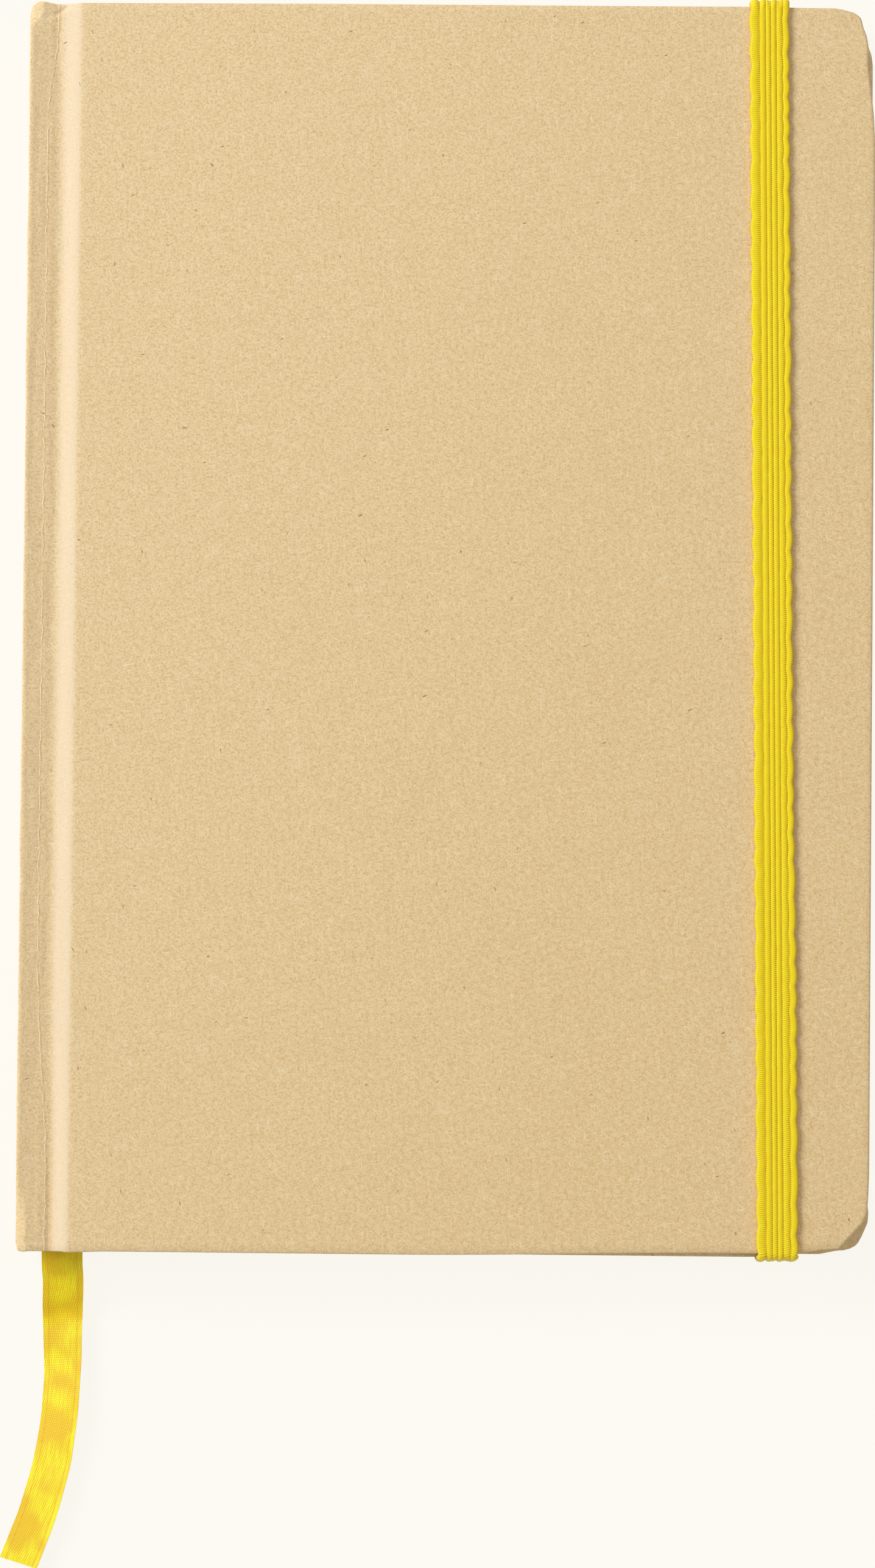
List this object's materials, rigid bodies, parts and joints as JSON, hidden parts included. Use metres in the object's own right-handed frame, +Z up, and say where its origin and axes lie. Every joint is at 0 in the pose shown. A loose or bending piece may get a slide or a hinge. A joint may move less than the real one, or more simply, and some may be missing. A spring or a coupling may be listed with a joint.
{
  "type": "hardcover notebook with elastic closure",
  "caption": "Closed A5-class hardcover notebook in kraft paper, with an elastic band round the covers and a ribbon marker at its tail.",
  "frame": {"origin": "under the middle of the closed notebook, on the surface that it lies on", "axes": "+X from the spine to the fore-edge, +Y from the tail to the head, +Z up through the front cover"},
  "size_m": [0.1481, 0.2696, 0.0164],
  "materials": {
    "kraft": "matt uncoated kraft paper with visible fibres",
    "board": "grey board",
    "pages": "uncoated writing paper",
    "endpaper": "uncoated paper",
    "lining": "glued spine paper",
    "elastic": "ribbed woven elastic",
    "ribbon": "satin ribbon"
  },
  "bodies": {
    "text_block": {"page_block": "pages", "spine_lining": "lining", "spine_card": "board", "spine_paper": "kraft", "front_joint_paper": "kraft", "back_joint_paper": "kraft", "ribbon_marker": "ribbon", "ribbon_tail": "ribbon"},
    "front_cover": {"front_board": "board", "front_cover_paper": "kraft", "front_endpaper": "endpaper"},
    "back_cover": {"back_board": "board", "back_cover_paper": "kraft", "back_endpaper": "endpaper", "elastic_band": "elastic"}
  },
  "joints": [
    {"name": "front_cover_hinge", "type": "hinge", "parent": "text_block", "child": "front_cover", "pos_m": [-0.0684, 0, 0.013], "axis": [0, -1, 0], "range_deg": [0, 180], "deforming": ["front_joint_paper", "elastic_band"]},
    {"name": "back_cover_hinge", "type": "hinge", "parent": "text_block", "child": "back_cover", "pos_m": [-0.0684, 0, 0.00344], "axis": [0, 1, 0], "range_deg": [0, 180], "deforming": ["back_joint_paper", "elastic_band"]}
  ]
}
